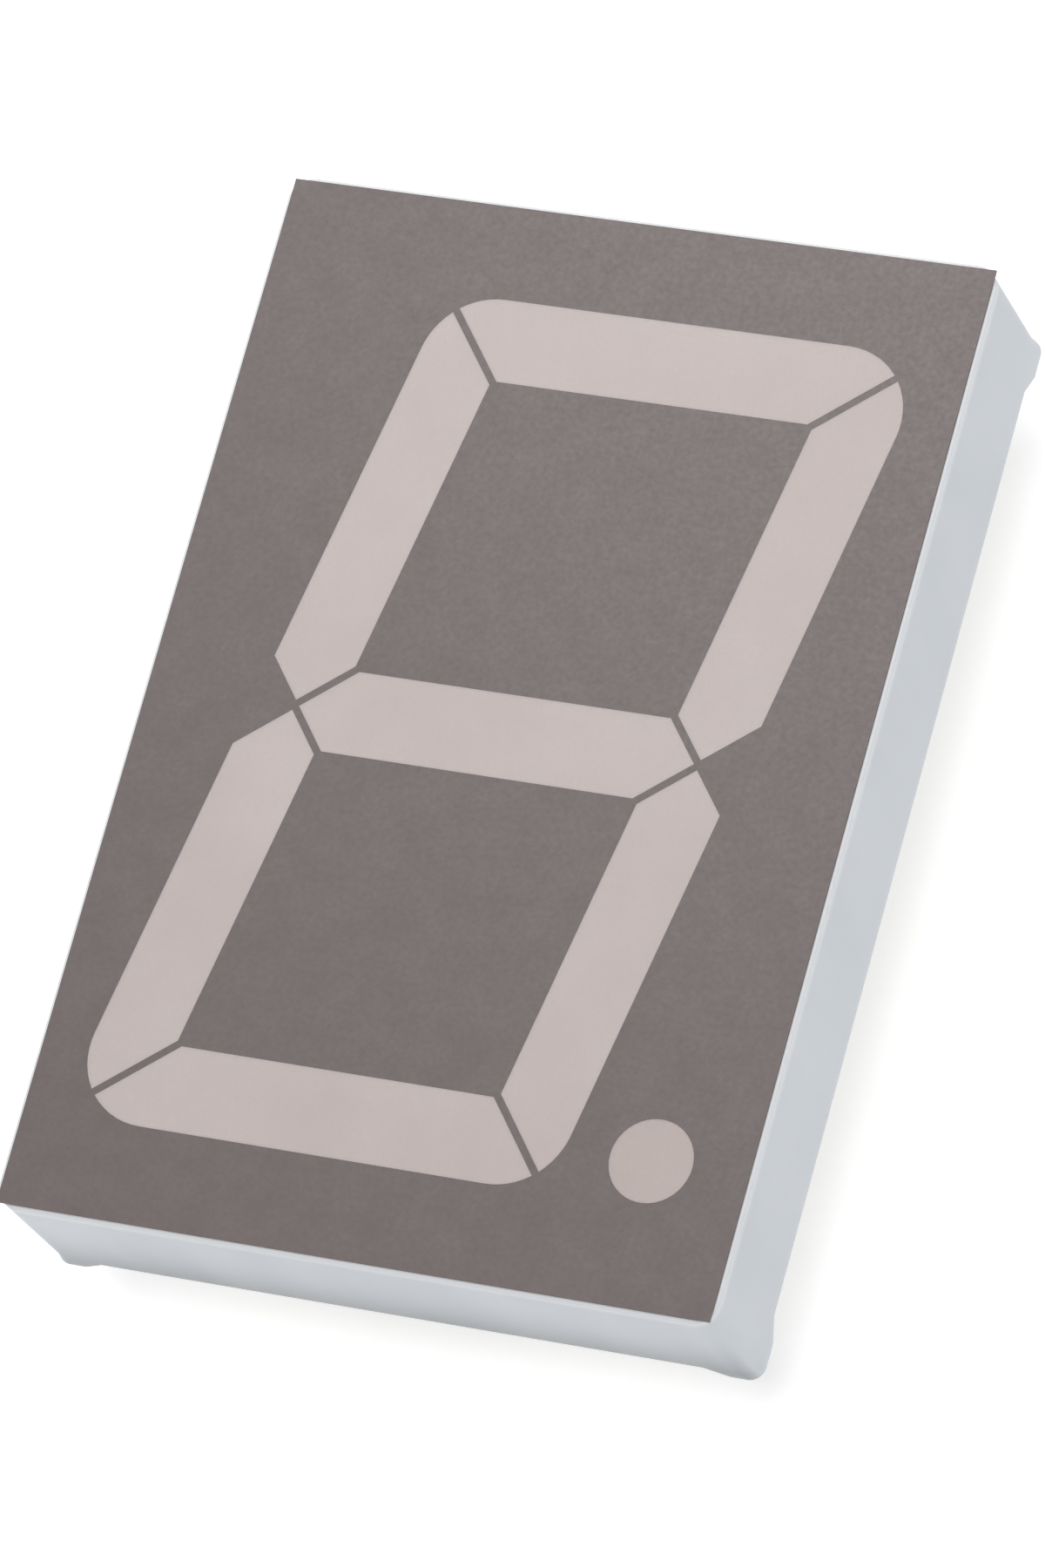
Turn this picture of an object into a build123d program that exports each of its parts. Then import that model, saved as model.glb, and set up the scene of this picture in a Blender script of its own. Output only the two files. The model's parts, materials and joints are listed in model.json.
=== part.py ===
from build123d import *
import os
from collections import namedtuple
from math import cos, radians, sin, tan

# Single digit light-emitting display, lying face up on the tips of its pins.
# X runs across the digit, Y up the digit and Z out of the face.
# The origin is under the middle of the part, level with the pin tips.

# Digit, which sets the size of the rest
digit_height = 57.0
digit_width = 32.7
digit_shift = -0.15
slant = 10.0
stroke = 5.5
outer_radius = 4.7
segment_gap = 0.48

# Decimal point: how far its middle lies beside the digit's width and above its foot
point_outset = 1.0
point_rise = 3.1
point_diameter = 5.4

# Margins outwards from the digit to the rows of pins and on to the edges of the housing
row_margin = 1.98
end_margin = 4.52
side_margin = 7.65

# Rounding of the housing's upright corners, measured at the front, and bevel of its front edges
corner_radius = 1.6
front_edge_bevel = 0.1

# Housing, front to back
wall_depth = 9.9
outer_draft = 1.0
inner_draft = 0.5
rim_wall = 1.4
board_ledge = 1.0
face_plate = 1.5

# Corner feet, measured across and along the housing at the root; each side steps in by the taper
foot_height = 1.1
foot_across = 3.6
foot_along = 4.0
foot_taper = 1.5
foot_tip_radius = 1.0
foot_inner_radius = 0.5

# Thin grey face, which leaves a narrow white margin all round
mask_thickness = 0.15
mask_margin = 0.25

# Reflector cavities, one behind each segment and one behind the point
cavity_depth = 5.8
cavity_slope = 12.0
cup_wall = 0.9

# Circuit board and the resin that seals it in from behind
board_thickness = 1.6
board_clearance = 0.15
seal_thickness = 1.3

# Pins, in two rows of five: round outside, with a square root that the board holds
pin_diameter = 0.5
pin_reach = 6.0
pin_chamfer = 0.1
pin_pitch = 2.54
pins_per_row = 5
root_width = 0.64
root_show = 0.3
root_head = 0.6
solder_sides = 8
solder_height = 0.7
solder_spread = 0.6
solder_slope = 32.0

# Light-emitting chips in a row along each segment, each wired to the next copper pad
chip_width = 0.36
chip_height = 0.25
chip_count = 4
pad_lead = 1.2
pad_width = 0.6
pad_thickness = 0.035
pad_gap = 0.15
wire_diameter = 0.05
wire_sides = 4
wire_hop = 0.6
wire_rise = 0.2

# The decimal point holds fewer chips, closer together
point_chip_count = 2
point_chip_pitch = 0.9
point_pad_lead = 0.2

# Sizes that follow from the digit and its margins
row_spacing = digit_height + 2 * row_margin
housing_height = row_spacing + 2 * end_margin
housing_width = digit_width + 2 * side_margin
point_x = digit_width / 2 + point_outset
point_y = point_rise - digit_height / 2

# Levels, upwards from the pin tips
seat_z = pin_reach
rear_z = seat_z + foot_height
face_z = rear_z + wall_depth
front_z = face_z - mask_thickness
board_front_z = front_z - cavity_depth
board_rear_z = board_front_z - board_thickness
seal_rear_z = board_rear_z - seal_thickness
chip_foot_z = board_front_z + pad_thickness

# Directions of the mitred gaps, each halfway between a level stroke and a leaning one
rising = 45 - slant / 2
falling = rising + 90


def draft_inset(depth, angle):
    """How far a drafted wall steps in over a depth."""
    return depth * tan(radians(angle))


rear_inset = draft_inset(front_z - rear_z, outer_draft)
recess_width = housing_width - 2 * (rear_inset + rim_wall)
recess_height = housing_height - 2 * (rear_inset + rim_wall)
recess_inset = draft_inset(board_front_z - rear_z, inner_draft)
board_width = recess_width - 2 * (recess_inset + board_clearance)
board_height = recess_height - 2 * (recess_inset + board_clearance)
pocket_width = recess_width - 2 * (recess_inset + board_ledge)
pocket_height = recess_height - 2 * (recess_inset + board_ledge)


def at_level(z, sketch):
    return Pos(0, 0, z) * sketch


def drafted_prism(outline, z, height, angle):
    """A prism that keeps its outline at one level and narrows by the angle away from it."""
    prism = extrude(at_level(z, outline), height)
    sides = [face for face in prism.faces() if abs(face.normal_at().Z) < 0.5]
    return draft(sides, Plane(origin=(0, 0, z), z_dir=(0, 0, height)), angle)


def lean(x, y):
    """A place on the upright digit, moved to where it lies on the slanted one."""
    return (x + y * tan(radians(slant)) + digit_shift, y)


def away(start, angle, length):
    return (start[0] + length * cos(radians(angle)), start[1] + length * sin(radians(angle)))


# Middle lines of the strokes, and the pitch of the chips along them with one pitch free at each end
half_across = (digit_width - stroke) / 2
half_up = (digit_height - stroke) / 2
level_pitch = 2 * half_across / (chip_count + 1)
leaning_pitch = half_up / cos(radians(slant)) / (chip_count + 1)

segment_places = {
    "a": (lean(0, half_up), 0),
    "b": (lean(half_across, half_up / 2), 90 - slant),
    "c": (lean(half_across, -half_up / 2), 90 - slant),
    "d": (lean(0, -half_up), 0),
    "e": (lean(-half_across, -half_up / 2), 90 - slant),
    "f": (lean(-half_across, half_up / 2), 90 - slant),
    "g": (lean(0, 0), 0),
}


def leaning_block(left, right, low, high):
    """A block of the upright digit, leaned over with it."""
    corners = [lean(left, low), lean(right, low), lean(right, high), lean(left, high)]
    return make_face(Polyline(*corners, close=True))


def gap_strip(place, angle):
    """The thin bar between two segments that meet at a mitre."""
    return Pos(*place) * Rot(0, 0, angle) * Rectangle(2 * stroke, segment_gap)


def waist_notch(place, angle):
    """The corner cut out of the side of the digit where three segments meet."""
    reach = 1.5 * stroke
    return make_face(Polyline(place, away(place, angle, reach), away(place, angle + 90, reach), close=True))


def digit_windows():
    """The flat outlines of the segments by letter, cut from one slanted figure eight."""
    side, top = digit_width / 2, digit_height / 2
    figure = leaning_block(-side, side, -top, top)
    figure = fillet(figure.vertices(), outer_radius)
    figure -= leaning_block(-side + stroke, side - stroke, stroke / 2, top - stroke)
    figure -= leaning_block(-side + stroke, side - stroke, stroke - top, -stroke / 2)
    for across, up, angle in ((-1, 1, falling), (1, 1, rising), (-1, -1, rising), (1, -1, falling)):
        figure -= gap_strip(lean(across * half_across, up * half_up), angle)
    for across, open_side in ((-1, falling), (1, falling - 180)):
        waist = lean(across * half_across, 0)
        figure -= gap_strip(waist, rising)
        figure -= gap_strip(waist, falling)
        figure -= waist_notch(waist, open_side)
    windows = {}
    for letter, (place, _) in segment_places.items():
        windows[letter] = min(figure.faces(), key=lambda face: (face.center() - Vector(*place)).length)
    return windows


def windows_by_name():
    windows = digit_windows()
    windows["point"] = (Pos(point_x, point_y) * Circle(point_diameter / 2)).face()
    return windows


def cavity(window):
    """A light well that narrows from its window down to the board."""
    return drafted_prism(window, front_z, -cavity_depth, cavity_slope)


def cup(window):
    """A cavity with its wall round it."""
    return cavity(offset(window, cup_wall, kind=Kind.INTERSECTION))


def corner_pad(z, inset, taper, outer_round):
    """Outline of a foot in one corner, rounded outside and inside."""
    x, y = housing_width / 2 - inset, housing_height / 2 - inset
    across, along = foot_across - taper, foot_along - taper
    pad = Pos(x - across / 2, y - along / 2, z) * Rectangle(across, along)
    corners = pad.vertices().sort_by(lambda corner: corner.X + corner.Y)
    pad = fillet(corners[-1], outer_round)
    corners = pad.vertices().sort_by(lambda corner: corner.X + corner.Y)
    return fillet(corners[0], foot_inner_radius)


def foot_root():
    return corner_pad(rear_z, rear_inset, 0, corner_radius - rear_inset)


def foot_tip():
    tip_inset = rear_inset + draft_inset(foot_height, outer_draft)
    return corner_pad(seat_z, tip_inset, foot_taper, foot_tip_radius)


def at_four_corners(corner_piece):
    pair = corner_piece + mirror(corner_piece, Plane.YZ)
    return pair + mirror(pair, Plane.XZ)


def feet():
    return at_four_corners(loft([foot_root(), foot_tip()]))


def corner_posts(clearance=0.0):
    """The solid corners of the recess, which carry the feet and stop the board turning."""
    outline = foot_root()
    if clearance:
        outline = offset(outline, clearance, kind=Kind.INTERSECTION)
    return at_four_corners(extrude(outline, board_front_z - rear_z))


def outer_shell():
    """The drafted outside, with rounded corners and a narrow bevel round the front."""
    outline = RectangleRounded(housing_width, housing_height, corner_radius)
    shell = drafted_prism(outline, front_z, rear_z - front_z, outer_draft)
    front_face = shell.faces().sort_by(Axis.Z)[-1]
    return chamfer(front_face.edges(), front_edge_bevel)


def recess():
    """The opening at the back that takes the board and its seal."""
    outline = Rectangle(recess_width, recess_height)
    return drafted_prism(outline, rear_z, board_front_z - rear_z, inner_draft)


def core_pocket():
    """The hollow between the cups and the side walls."""
    outline = Rectangle(pocket_width, pocket_height)
    return drafted_prism(outline, board_front_z, front_z - face_plate - board_front_z, inner_draft)


def reflector_housing(windows):
    housing = outer_shell() - recess() - core_pocket()
    housing += corner_posts()
    housing += feet()
    for window in windows.values():
        housing += cup(window)
    for window in windows.values():
        housing -= cavity(window)
    return housing


def face_mask(windows):
    """The thin grey face, open over every segment and over the point."""
    outline = Rectangle(housing_width - 2 * mask_margin, housing_height - 2 * mask_margin)
    mask = extrude(at_level(front_z, outline), mask_thickness)
    for window in windows.values():
        mask -= extrude(at_level(front_z, window), mask_thickness)
    return mask


ChipRow = namedtuple("ChipRow", "place angle count pitch lead")


def chip_rows():
    """The rows of chips by name, one along each segment and one in the point."""
    rows = {}
    for letter, (place, angle) in segment_places.items():
        pitch = leaning_pitch if angle else level_pitch
        rows[letter] = ChipRow(place, angle, chip_count, pitch, pad_lead)
    rows["point"] = ChipRow((point_x, point_y), 0, point_chip_count, point_chip_pitch, point_pad_lead)
    return rows


def chip_spots(row):
    """Distances of the chips along their row, which is centred with its last wire."""
    first = -((row.count - 1) * row.pitch + wire_hop) / 2
    return [first + i * row.pitch for i in range(row.count)]


def along_row(row, z):
    return Pos(row.place[0], row.place[1], z) * Rot(0, 0, row.angle)


def copper_pads(row):
    """A chain of copper strips: each carries a chip and takes the wire from the chip before."""
    spots = chip_spots(row)
    gaps = [spot + wire_hop / 2 for spot in spots]
    starts = [spots[0] - row.lead] + [gap + pad_gap / 2 for gap in gaps]
    ends = [gap - pad_gap / 2 for gap in gaps] + [spots[-1] + wire_hop + row.lead]
    pads = []
    for start, end in zip(starts, ends):
        strip = Pos((start + end) / 2, 0) * Rectangle(end - start, pad_width)
        pads.append(along_row(row, board_front_z) * extrude(strip, pad_thickness))
    return pads


def chips(row):
    block = extrude(Rectangle(chip_width, chip_width), chip_height)
    return [along_row(row, chip_foot_z) * Pos(x, 0, 0) * block for x in chip_spots(row)]


def bond_wires(row):
    """Fine wires that rise from each chip, cross over and come down on the next pad."""
    top = chip_height + wire_rise
    path = Polyline((0, 0, chip_height), (0, 0, top), (wire_hop, 0, top), (wire_hop, 0, 0))
    section = at_level(chip_height, RegularPolygon(wire_diameter / 2, wire_sides))
    wire = sweep(section, path=path, transition=Transition.RIGHT)
    return [along_row(row, chip_foot_z) * Pos(x, 0, 0) * wire for x in chip_spots(row)]


def lens(window, inner_pieces):
    """Milky resin cast into a cavity, flush with the face and close round what it covers."""
    fill = cavity(window) + extrude(at_level(front_z, window), mask_thickness)
    for piece in inner_pieces:
        fill -= piece
    return fill


def pin_places():
    """Pins 1 to 5 along the bottom from the left, then 6 to 10 back along the top."""
    offsets = [(i - (pins_per_row - 1) / 2) * pin_pitch for i in range(pins_per_row)]
    bottom = [(x, -row_spacing / 2) for x in offsets]
    top = [(x, row_spacing / 2) for x in reversed(offsets)]
    return bottom + top


def root_outline(z):
    return at_level(z, Rectangle(root_width, root_width))


def pin(place):
    """A round pin with a square root that shows a little below the seal."""
    root_z = seal_rear_z - root_show
    rod = extrude(Circle(pin_diameter / 2), root_z)
    rod = chamfer(rod.edges().sort_by(Axis.Z)[0], pin_chamfer)
    root = extrude(root_outline(root_z), board_front_z + root_head - root_z)
    return Pos(*place) * (rod + root)


def solder_joint(place):
    """Solder that spreads from the root over the back of the board, drawn with flat sides."""
    outline = RegularPolygon(root_width / 2 + solder_spread, solder_sides, major_radius=False)
    mound = drafted_prism(outline, board_rear_z, -solder_height, solder_slope)
    return Pos(*place) * (mound - extrude(root_outline(board_rear_z), -solder_height))


def circuit_board():
    board = extrude(at_level(board_rear_z, Rectangle(board_width, board_height)), board_thickness)
    board -= corner_posts(board_clearance)
    for place in pin_places():
        board -= Pos(*place) * extrude(root_outline(board_rear_z), board_thickness)
    for row in chip_rows().values():
        board += copper_pads(row)
    return board


def rear_seal(board, joints, pins):
    """Resin poured in behind the board and round its edge."""
    reach = housing_width + housing_height
    height = board_front_z - seal_rear_z
    slab = extrude(at_level(seal_rear_z, Rectangle(reach, reach)), height)
    seal = recess() & slab
    seal -= corner_posts()
    for piece in [board] + joints + pins:
        seal -= piece
    return seal


def all_nodes():
    windows = windows_by_name()
    board = circuit_board()
    pins = [pin(place) for place in pin_places()]
    joints = [solder_joint(place) for place in pin_places()]
    nodes = {
        "reflector_housing": reflector_housing(windows),
        "face_mask": face_mask(windows),
        "circuit_board": board,
        "rear_seal": rear_seal(board, joints, pins),
    }
    for name, row in chip_rows().items():
        row_chips = chips(row)
        row_wires = bond_wires(row)
        nodes[f"lens_{name}"] = lens(windows[name], copper_pads(row) + row_chips + row_wires)
        nodes[f"chips_{name}"] = Compound(row_chips)
        nodes[f"bond_wires_{name}"] = Compound(row_wires)
    for number, (rod, joint) in enumerate(zip(pins, joints), start=1):
        nodes[f"pin_{number}"] = rod
        nodes[f"solder_{number}"] = joint
    return nodes


os.makedirs("parts", exist_ok=True)
for node, shape in all_nodes().items():
    export_step(shape, f"parts/{node}.step")
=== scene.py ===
import json
from math import cos, exp, radians, sin

import bmesh
import bpy
from mathutils import Matrix, Vector
from mathutils.bvhtree import BVHTree


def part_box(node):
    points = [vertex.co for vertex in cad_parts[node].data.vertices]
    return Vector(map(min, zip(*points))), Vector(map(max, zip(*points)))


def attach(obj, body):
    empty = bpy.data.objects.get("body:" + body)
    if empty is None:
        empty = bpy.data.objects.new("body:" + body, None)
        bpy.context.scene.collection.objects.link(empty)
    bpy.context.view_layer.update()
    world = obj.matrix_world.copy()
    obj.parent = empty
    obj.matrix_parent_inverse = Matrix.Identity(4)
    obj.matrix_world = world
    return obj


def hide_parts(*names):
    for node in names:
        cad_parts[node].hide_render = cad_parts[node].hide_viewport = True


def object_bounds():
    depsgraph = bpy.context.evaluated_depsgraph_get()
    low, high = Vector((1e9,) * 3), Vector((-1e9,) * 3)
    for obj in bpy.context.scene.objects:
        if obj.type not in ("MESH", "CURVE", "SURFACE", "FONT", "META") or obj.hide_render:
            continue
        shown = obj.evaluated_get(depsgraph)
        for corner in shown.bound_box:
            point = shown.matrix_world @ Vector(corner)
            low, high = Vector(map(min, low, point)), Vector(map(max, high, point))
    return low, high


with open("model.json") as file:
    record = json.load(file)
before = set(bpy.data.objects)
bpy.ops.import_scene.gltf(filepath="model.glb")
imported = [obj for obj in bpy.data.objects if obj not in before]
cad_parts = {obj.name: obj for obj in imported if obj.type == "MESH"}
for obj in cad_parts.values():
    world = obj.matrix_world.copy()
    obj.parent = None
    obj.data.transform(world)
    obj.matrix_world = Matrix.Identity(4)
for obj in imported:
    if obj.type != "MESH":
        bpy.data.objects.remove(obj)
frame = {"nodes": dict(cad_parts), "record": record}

nodes = frame["nodes"]
cad_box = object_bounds()
face_level = cad_box[1].z

# Sizes and places are in metres, and small ones are given as a number of these
millimetre = 0.001
micrometre = 0.000001

# Camera, fitted to the face, side walls and feet as the photograph shows them.
# Its angles are in degrees, its lens and sensor in millimetres.
camera_azimuth = -38.224
camera_elevation = 61.546
camera_roll = 39.546
camera_distance = 0.71783
camera_aim = Vector((0.002509, -0.00289, face_level))
camera_lens = 268.44
sensor_width = 36.0
nearest_view = 0.01

# Light, with the lamps' power in watts
white = (1.0, 1.0, 1.0, 1.0)
world_strength = 0.47
key_power = 0.25
key_size = 0.14
key_place = Vector((-0.054, 0.135, 0.237))
fill_power = 1.55
fill_size = 0.4
fill_place = Vector((0.08, -0.10, 0.70))

# Floor
floor_size = 3.0
floor_glow = 0.36

# Noise stays near the middle of its range, so only what lies between these two is spread out
noise_low = 0.3
noise_high = 0.7

# Sockets of the node that mixes two colours: the share and the colours, and then the result
mix_inputs = (0, 6, 7)
mix_output = 2

# Small rounding that the shader gives to the moulding's edges
edge_softness = 0.12 * millimetre
edge_samples = 4

# How far the corner feet stand past the rear edge of the side walls
foot_height = 1.1 * millimetre

# Bands painted on the moulding's colour: a painted highlight along its front edge, and painted shade towards
# the rear edge of its lower wall
highlight_band = 0.9 * millimetre
shade_band = 8.0 * millimetre

# The lower wall leans in by less than the first of these, and the painted shade band ends over the second
lower_wall_draft = 0.2 * millimetre
lower_wall_fade = 0.4 * millimetre

# Skin of the poured resin: it climbs what it wets and sinks a little in between
climb_height = 0.22 * millimetre
climb_reach = 0.35 * millimetre
sink_depth = 0.08 * millimetre
sink_reach = 6.0 * millimetre
sharp_angle = 40.0

# Cuts that divide the skin across both axes, in even steps and at these distances from what it wets.
# An edge of its border that is shorter than the last of these gets no cuts of its own.
cut_axes = (Vector((1, 0, 0)), Vector((0, 1, 0)))
cut_pitch = 3.0 * millimetre
cut_distances = [distance * millimetre for distance in (0.12, 0.3, 0.6, 1.1, 2.2)]
shortest_wetted_edge = 0.5 * millimetre

# Tolerances of the skin's mesh, and the digits of a metre that the lines of its border are rounded to
level_tolerance = 0.01 * millimetre
line_tolerance = 0.001 * millimetre
cut_tolerance = 0.0001 * millimetre
weld_distance = 0.002 * millimetre
line_digits = 6

# Height of the upright strips that distances along the skin are measured from
strip_height = 1.0 * millimetre


def srgb(red, green, blue):
    """A colour given in steps of 255, in the linear values that shaders take."""
    linear = []
    for value in (red, green, blue):
        share = value / 255
        linear.append(share / 12.92 if share <= 0.04045 else ((share + 0.055) / 1.055) ** 2.4)
    return (*linear, 1.0)


class Surface:
    """A material under construction: its node tree, with the principled shader at its end."""

    def __init__(self, name):
        self.material = bpy.data.materials.new(name)
        self.material.use_nodes = True
        self.tree = self.material.node_tree
        self.shader = self.tree.nodes["Principled BSDF"]
        self.space = self.add("ShaderNodeTexCoord").outputs["Object"]

    def add(self, kind, inputs=None, **settings):
        """A new node of a kind, with its settings and inputs."""
        node = self.tree.nodes.new(kind)
        for name, value in settings.items():
            setattr(node, name, value)
        self.feed(node, inputs or {})
        return node

    def feed(self, node, inputs):
        """Gives inputs of a node another node's output, or a value that is the same all over."""
        for name, value in inputs.items():
            if isinstance(value, bpy.types.NodeSocket):
                self.tree.links.new(value, node.inputs[name])
            else:
                node.inputs[name].default_value = value

    def noise(self, scale, detail=3.0, roughness=0.5, rates=(1, 1, 1)):
        """Noise through the object's own space: its features per metre, and a factor for each axis."""
        place = self.add("ShaderNodeMapping", {"Vector": self.space, "Scale": rates}).outputs["Vector"]
        inputs = {"Vector": place, "Scale": scale, "Detail": detail, "Roughness": roughness}
        return self.add("ShaderNodeTexNoise", inputs).outputs["Fac"]

    def shades(self, noise, dark, light):
        """Colours from dark to light, over the middle range of a noise."""
        ramp = self.add("ShaderNodeValToRGB", {"Fac": noise})
        stops = zip(ramp.color_ramp.elements, (noise_low, noise_high), (dark, light))
        for element, place, colour in stops:
            element.position = place
            element.color = colour
        return ramp.outputs["Color"]

    def span(self, source, low, high, start=noise_low, end=noise_high):
        """Values from low to high, over a range of the source."""
        inputs = {"Value": source, "From Min": start, "From Max": end, "To Min": low, "To Max": high}
        return self.add("ShaderNodeMapRange", inputs).outputs["Result"]

    def place(self, axis):
        """Where a point of the surface lies along one of the object's axes."""
        return self.add("ShaderNodeSeparateXYZ", {"Vector": self.space}).outputs[axis]

    def times(self, first, second):
        """The product of two sources."""
        return self.add("ShaderNodeMath", {0: first, 1: second}, operation="MULTIPLY").outputs["Value"]

    def mix(self, share, first, second):
        """The first colour, which gives way to the second as the share goes from 0 to 1."""
        inputs = dict(zip(mix_inputs, (share, first, second)))
        return self.add("ShaderNodeMix", inputs, data_type="RGBA").outputs[mix_output]

    def soft_edges(self, radius):
        """Directions of the surface, with its sharp edges rounded."""
        return self.add("ShaderNodeBevel", {"Radius": radius}, samples=edge_samples).outputs["Normal"]

    def bump(self, height, depth, under=None):
        """Directions of the surface with a relief, which may lie on another one."""
        inputs = {"Height": height, "Distance": depth}
        if under is not None:
            inputs["Normal"] = under
        return self.add("ShaderNodeBump", inputs).outputs["Normal"]

    def scatter(self, weight, *depths):
        """Light that wanders below the surface: its share, and how many millimetres each colour goes."""
        radius = [depth * millimetre for depth in depths]
        inputs = {"Subsurface Weight": weight, "Subsurface Radius": radius, "Subsurface Scale": 1.0}
        self.feed(self.shader, inputs)

    def finish(self, **inputs):
        """Feeds the shader, whose inputs are named with underscores for spaces, and gives the material."""
        self.feed(self.shader, {name.replace("_", " "): value for name, value in inputs.items()})
        return self.material


def colour_with_painted_light(look, colour):
    """The moulding's colour, with a painted highlight along its front edge and painted shade at the rear of
    its lower wall.
    """
    low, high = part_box("reflector_housing")
    rear_edge = low.z + foot_height
    lower_wall = low.y + lower_wall_draft
    height = look.place("Z")
    highlight_share = look.span(height, 0.0, 1.0, start=high.z - highlight_band, end=high.z)
    near_rear = look.span(height, 1.0, 0.0, start=rear_edge, end=rear_edge + shade_band)
    near_wall = look.span(look.place("Y"), 1.0, 0.0, start=lower_wall, end=lower_wall + lower_wall_fade)
    # Painted shade: darker towards the rear edge of the lower wall
    painted_shade = look.times(look.times(near_rear, near_rear), near_wall)
    # Painted highlight: lighter along the front edge
    colour = look.mix(highlight_share, colour, srgb(226, 228, 232))
    return look.mix(painted_shade, colour, srgb(156, 160, 164))


def white_housing():
    """Satin white moulded plastic with a faint flow and a fine grain, and a painted highlight and painted
    shade in its colour.
    """
    look = Surface("white_housing")
    cloud = look.noise(60, detail=2)
    flow = look.noise(220, detail=4, rates=(1, 1, 0.25))
    grain = look.noise(9000, detail=2)
    tint = look.shades(cloud, srgb(199, 204, 210), srgb(205, 210, 216))
    colour = look.mix(look.span(flow, 0.0, 0.25), tint, srgb(193, 199, 206))
    rough = look.span(flow, 0.42, 0.52)
    relief = look.bump(flow, 20 * micrometre, under=look.soft_edges(edge_softness))
    relief = look.bump(grain, 4 * micrometre, under=relief)
    look.scatter(0.12, 1.2, 1.1, 1.0)
    return look.finish(Base_Color=colour_with_painted_light(look, colour), Roughness=rough, Normal=relief, IOR=1.5)


def grey_face():
    """Matt warm grey print with a fine mottle."""
    look = Surface("grey_face")
    speck = look.noise(2600, detail=4, roughness=0.65)
    patch = look.noise(420, detail=3)
    tint = look.shades(patch, srgb(107, 97, 95), srgb(113, 103, 101))
    colour = look.mix(look.span(speck, 0.0, 0.5), tint, srgb(95, 85, 83))
    rough = look.span(speck, 0.40, 0.50)
    relief = look.bump(speck, 6 * micrometre)
    return look.finish(Base_Color=colour, Roughness=rough, Normal=relief, IOR=1.5)


def milky_resin(name, dark, light, speck):
    """Milky resin that scatters light, with a faint pink warmth."""
    look = Surface(name)
    cloud = look.noise(150, detail=3)
    dust = look.noise(5200, detail=2)
    colour = look.mix(look.span(dust, 0.0, 0.2), look.shades(cloud, dark, light), speck)
    rough = look.span(cloud, 0.48, 0.56)
    relief = look.bump(dust, 3 * micrometre)
    look.scatter(0.35, 0.9, 0.7, 0.6)
    return look.finish(Base_Color=colour, Roughness=rough, Normal=relief, IOR=1.5)


def board_mask():
    """White solder mask over a woven laminate, whose weave shows through faintly."""
    look = Surface("circuit_board")
    threads = []
    for axis in ("X", "Y"):
        inputs = {"Vector": look.space, "Scale": 450, "Distortion": 0.4}
        wave = look.add("ShaderNodeTexWave", inputs, wave_type="BANDS", bands_direction=axis)
        threads.append(wave.outputs["Color"])
    relief = look.bump(look.mix(0.5, *threads), 8 * micrometre)
    colour = look.mix(look.span(look.noise(180), 0.1, 0.5), srgb(228, 230, 224), srgb(212, 218, 202))
    rough = look.span(look.noise(900), 0.3, 0.45)
    return look.finish(Base_Color=colour, Roughness=rough, Normal=relief, IOR=1.5)


def seal_resin():
    """Cast resin with a glossy, gently wavy skin and small bubbles."""
    look = Surface("seal_resin")
    cloud = look.noise(90, detail=3)
    wave = look.noise(260, detail=1)
    bubbles = look.add("ShaderNodeTexVoronoi", {"Vector": look.space, "Scale": 900}, feature="F1")
    off_bubbles = look.span(bubbles.outputs["Distance"], 0.0, 1.0, start=0.05, end=0.14)
    tint = look.shades(cloud, srgb(216, 214, 209), srgb(221, 219, 214))
    colour = look.mix(off_bubbles, srgb(207, 204, 196), tint)
    rough = look.span(wave, 0.14, 0.24)
    relief = look.bump(off_bubbles, 20 * micrometre, under=look.bump(wave, 60 * micrometre))
    look.scatter(0.4, 2.0, 1.6, 1.0)
    return look.finish(Base_Color=colour, Roughness=rough, Normal=relief, IOR=1.53)


def plated_metal(name, light, dark, rough, scale, rates=(1, 1, 1)):
    """Plated or drawn metal with fine streaks, or specks where the noise has the same rate all ways."""
    look = Surface(name)
    streak = look.noise(scale, detail=4, rates=rates)
    blotch = look.noise(scale / 4, detail=2)
    colour = look.mix(look.span(streak, 0.0, 0.6), light, dark)
    relief = look.bump(streak, 4 * micrometre)
    return look.finish(Base_Color=colour, Roughness=look.span(blotch, *rough), Normal=relief, Metallic=1.0)


def chip_surface():
    """Polished compound semiconductor with a fine dark grain."""
    look = Surface("chip")
    grain = look.noise(12000, detail=3)
    colour = look.mix(look.span(grain, 0.0, 0.7), srgb(150, 84, 66), srgb(96, 50, 44))
    relief = look.bump(grain, 2 * micrometre)
    return look.finish(Base_Color=colour, Roughness=look.span(grain, 0.15, 0.35), Normal=relief, IOR=1.8)


def floor_surface():
    """Pale paper, faintly mottled, that glows a little so that it stays near white."""
    look = Surface("pale_floor")
    colour = look.shades(look.noise(3, detail=3), srgb(246, 246, 246), srgb(249, 249, 249))
    relief = look.bump(look.noise(900), 20 * micrometre)
    look.feed(look.shader, {"Emission Color": white, "Emission Strength": floor_glow})
    return look.finish(Base_Color=colour, Roughness=0.9, Normal=relief)


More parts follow.
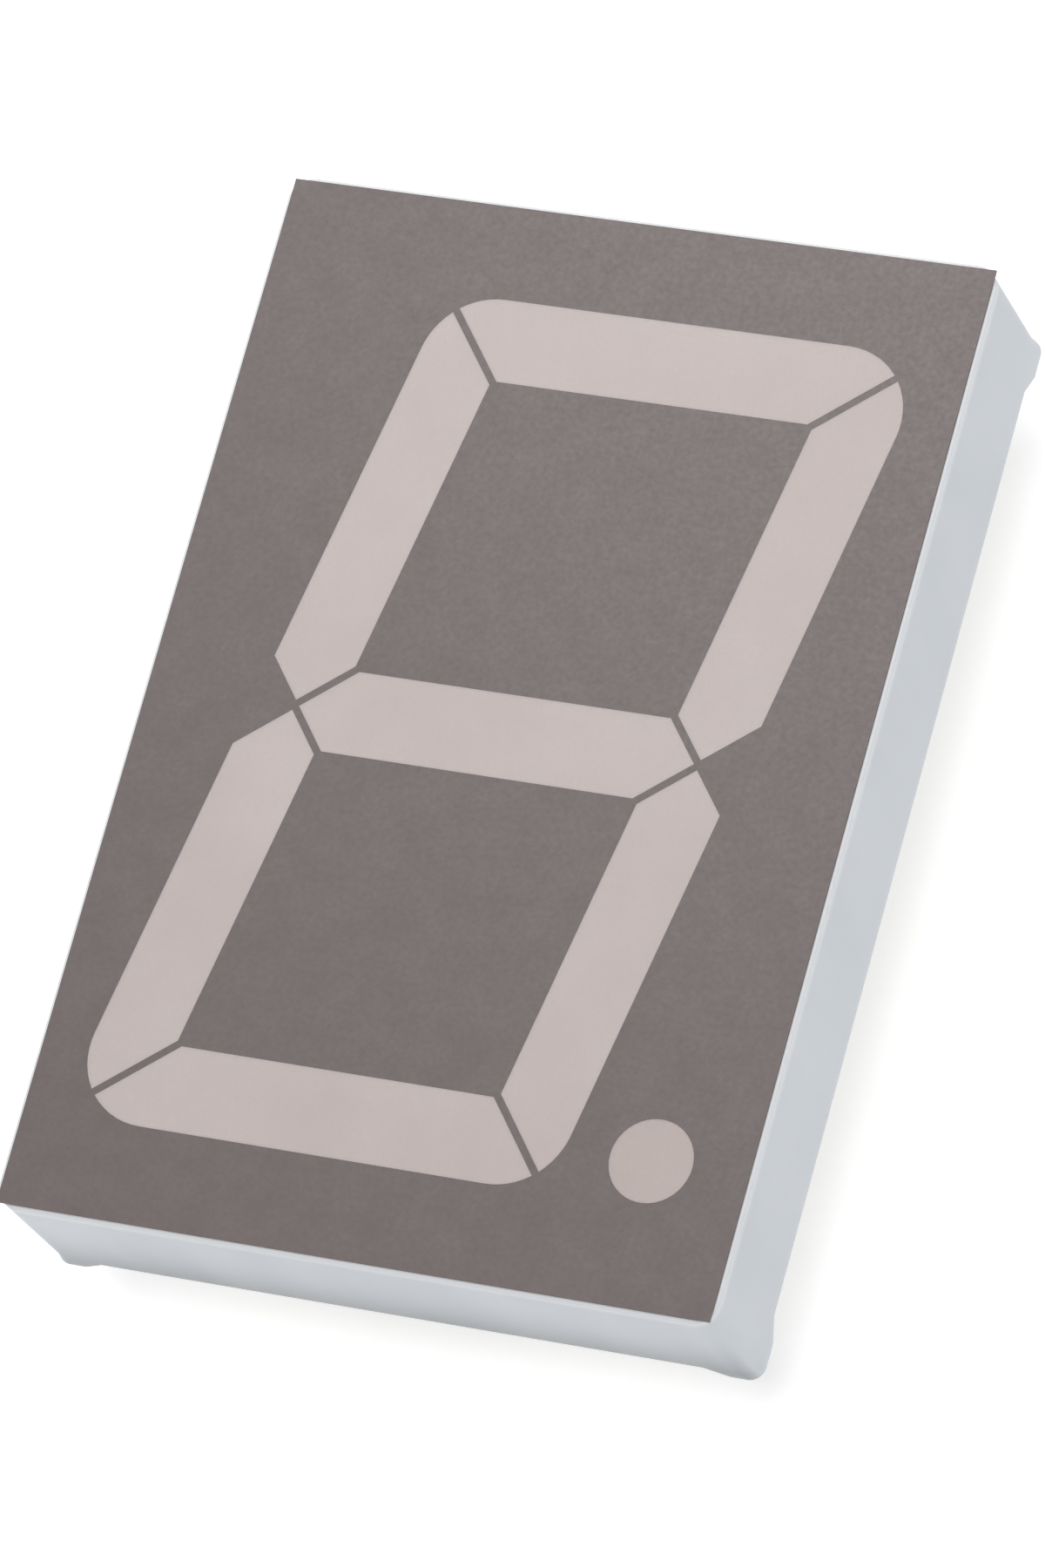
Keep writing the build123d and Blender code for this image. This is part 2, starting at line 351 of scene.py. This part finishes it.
def surfaces():
    """Materials by the record's slot names, and one more for the resin of the decimal point."""
    segment_tints = srgb(190, 178, 175), srgb(196, 185, 182), srgb(180, 167, 163)
    point_tints = srgb(184, 171, 167), srgb(189, 177, 173), srgb(174, 160, 155)
    tin_tints = srgb(226, 226, 224), srgb(190, 190, 188)
    solder_tints = srgb(214, 215, 214), srgb(170, 172, 173)
    gold_tints = srgb(242, 204, 118), srgb(214, 166, 78)
    return {
        "white_housing": white_housing(),
        "grey_face": grey_face(),
        "segment_resin": milky_resin("segment_resin", *segment_tints),
        "point_resin": milky_resin("point_resin", *point_tints),
        "circuit_board": board_mask(),
        "seal_resin": seal_resin(),
        "tinned_pin": plated_metal("tinned_pin", *tin_tints, (0.18, 0.34), 5000, rates=(1, 1, 0.05)),
        "solder": plated_metal("solder", *solder_tints, (0.2, 0.4), 3000),
        "chip": chip_surface(),
        "gold_wire": plated_metal("gold_wire", *gold_tints, (0.2, 0.32), 9000),
    }


def dress_nodes(looks):
    """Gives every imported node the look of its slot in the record, and the decimal point its own."""
    for part in frame["record"]["subparts"]:
        name = "point_resin" if part["node"] == "lens_point" else part["material_slot"]
        for slot in nodes[part["node"]].material_slots:
            slot.material = looks[name]


def add_object(name, data):
    """A new object in the scene that holds a mesh, a lamp or a camera."""
    holder = bpy.data.objects.new(name, data)
    bpy.context.collection.objects.link(holder)
    return holder


def lies_at(face, level):
    """Whether a face lies flat at a level."""
    return all(abs(vertex.co.z - level) < level_tolerance for vertex in face.verts)


def skin_faces(work, level):
    """The faces of the skin, which lie flat at its level."""
    return [face for face in work.faces if lies_at(face, level)]


def skin_border(work, level):
    """The skin's edges that have a face on one side which leaves the level."""
    edges = {edge for face in skin_faces(work, level) for edge in face.edges}
    return [edge for edge in edges if not all(lies_at(face, level) for face in edge.link_faces)]


def cut_places(border, axis):
    """Where to cut the skin across an axis: close together beside what it wets, and in even steps."""
    lines = set()
    for edge in border:
        start, end = (vertex.co[axis] for vertex in edge.verts)
        if edge.calc_length() > shortest_wetted_edge and abs(start - end) < line_tolerance:
            lines.add(round(start, line_digits))
    low, high = min(lines), max(lines)
    places = {low + cut_pitch * step for step in range(1, int((high - low) / cut_pitch) + 1)}
    for line in lines:
        places |= {line + side * distance for distance in cut_distances for side in (-1, 1)}
    return sorted(place for place in places if low < place < high)


def cut_skin(work, level, across, place):
    """Cuts the skin along a straight line, at a place on the axis that it goes across."""
    faces = skin_faces(work, level)
    edges = {edge for face in faces for edge in face.edges}
    corners = {vertex for face in faces for vertex in face.verts}
    geometry = [*faces, *edges, *corners]
    bmesh.ops.bisect_plane(work, geom=geometry, plane_co=across * place, plane_no=across, dist=cut_tolerance)


def border_strips(border):
    """Upright strips on the border's edges, from which distances along the skin are measured."""
    upright = Vector((0, 0, strip_height))
    corners, strips = [], []
    for edge in border:
        start, end = (vertex.co.copy() for vertex in edge.verts)
        strips.append(list(range(len(corners), len(corners) + 4)))
        corners += [start, end, end + upright, start + upright]
    return BVHTree.FromPolygons(corners, strips)


def shape_skin(work, level):
    """Moves the skin by its distance from its border. It faces down, so it is lowest where it climbs."""
    strips = border_strips(skin_border(work, level))
    for vertex in {vertex for face in skin_faces(work, level) for vertex in face.verts}:
        *_, distance = strips.find_nearest(vertex.co)
        sink = sink_depth * (1 - exp(-distance / sink_reach))
        climb = climb_height * exp(-distance / climb_reach)
        vertex.co.z += sink - climb


def pour_skin(work):
    """Turns the flat rear face into a finely divided, poured skin."""
    level = min(vertex.co.z for vertex in work.verts)
    border = skin_border(work, level)
    cuts = [(across, place) for axis, across in enumerate(cut_axes) for place in cut_places(border, axis)]
    for across, place in cuts:
        cut_skin(work, level, across, place)
    bmesh.ops.remove_doubles(work, verts=work.verts, dist=weld_distance)
    shape_skin(work, level)


def make_poured_seal(look):
    """The sealing resin with its wetted skin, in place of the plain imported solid."""
    work = bmesh.new()
    work.from_mesh(nodes["rear_seal"].data)
    bmesh.ops.remove_doubles(work, verts=work.verts, dist=weld_distance)
    pour_skin(work)
    mesh = bpy.data.meshes.new("poured_seal")
    work.to_mesh(mesh)
    work.free()
    if "custom_normal" in mesh.attributes:
        mesh.attributes.remove(mesh.attributes["custom_normal"])
    mesh.shade_smooth()
    mesh.set_sharp_from_angle(angle=radians(sharp_angle))
    mesh.materials.append(look)
    seal = add_object("poured_seal", mesh)
    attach(seal, "root")
    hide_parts("rear_seal")


def make_floor():
    """A square floor under the middle of the object."""
    half = floor_size / 2
    corners = [(-half, -half, 0), (half, -half, 0), (half, half, 0), (-half, half, 0)]
    mesh = bpy.data.meshes.new("floor")
    mesh.from_pydata(corners, [], [(0, 1, 2, 3)])
    mesh.materials.append(floor_surface())
    add_object("floor", mesh)


def add_lamp(name, place, size, power):
    """A round lamp that shines at what the camera aims at."""
    lamp = bpy.data.lights.new(name, "AREA")
    lamp.shape = "DISK"
    lamp.size = size
    lamp.energy = power
    holder = add_object(name, lamp)
    holder.location = place
    holder.rotation_mode = "QUATERNION"
    holder.rotation_quaternion = (camera_aim - place).to_track_quat("-Z", "Y")


def make_light():
    """A white room, with a small key lamp and a wide fill lamp."""
    world = bpy.data.worlds.new("soft_room")
    world.use_nodes = True
    background = world.node_tree.nodes["Background"]
    background.inputs["Color"].default_value = white
    background.inputs["Strength"].default_value = world_strength
    bpy.context.scene.world = world
    add_lamp("key", key_place, key_size, key_power)
    add_lamp("fill", fill_place, fill_size, fill_power)


def make_camera():
    """A long lens that looks down at the face from beyond its lower right corner, rolled to the side."""
    azimuth, elevation, roll = (radians(angle) for angle in (camera_azimuth, camera_elevation, camera_roll))
    back = Vector((cos(elevation) * cos(azimuth), cos(elevation) * sin(azimuth), sin(elevation)))
    level = (-back).cross(Vector((0, 0, 1))).normalized()
    upright = level.cross(-back)
    up = upright * cos(roll) + level * sin(roll)
    right = (-back).cross(up)
    turn = Matrix((right, up, back)).transposed()
    lens = bpy.data.cameras.new("photo_view")
    lens.lens = camera_lens
    lens.sensor_width = sensor_width
    lens.clip_start = nearest_view
    camera = add_object("photo_view", lens)
    camera.matrix_world = Matrix.Translation(camera_aim + back * camera_distance) @ turn.to_4x4()
    bpy.context.scene.camera = camera


bpy.context.scene.view_settings.view_transform = "Standard"
looks = surfaces()
dress_nodes(looks)
make_poured_seal(looks["seal_resin"])
make_floor()
make_light()
make_camera()
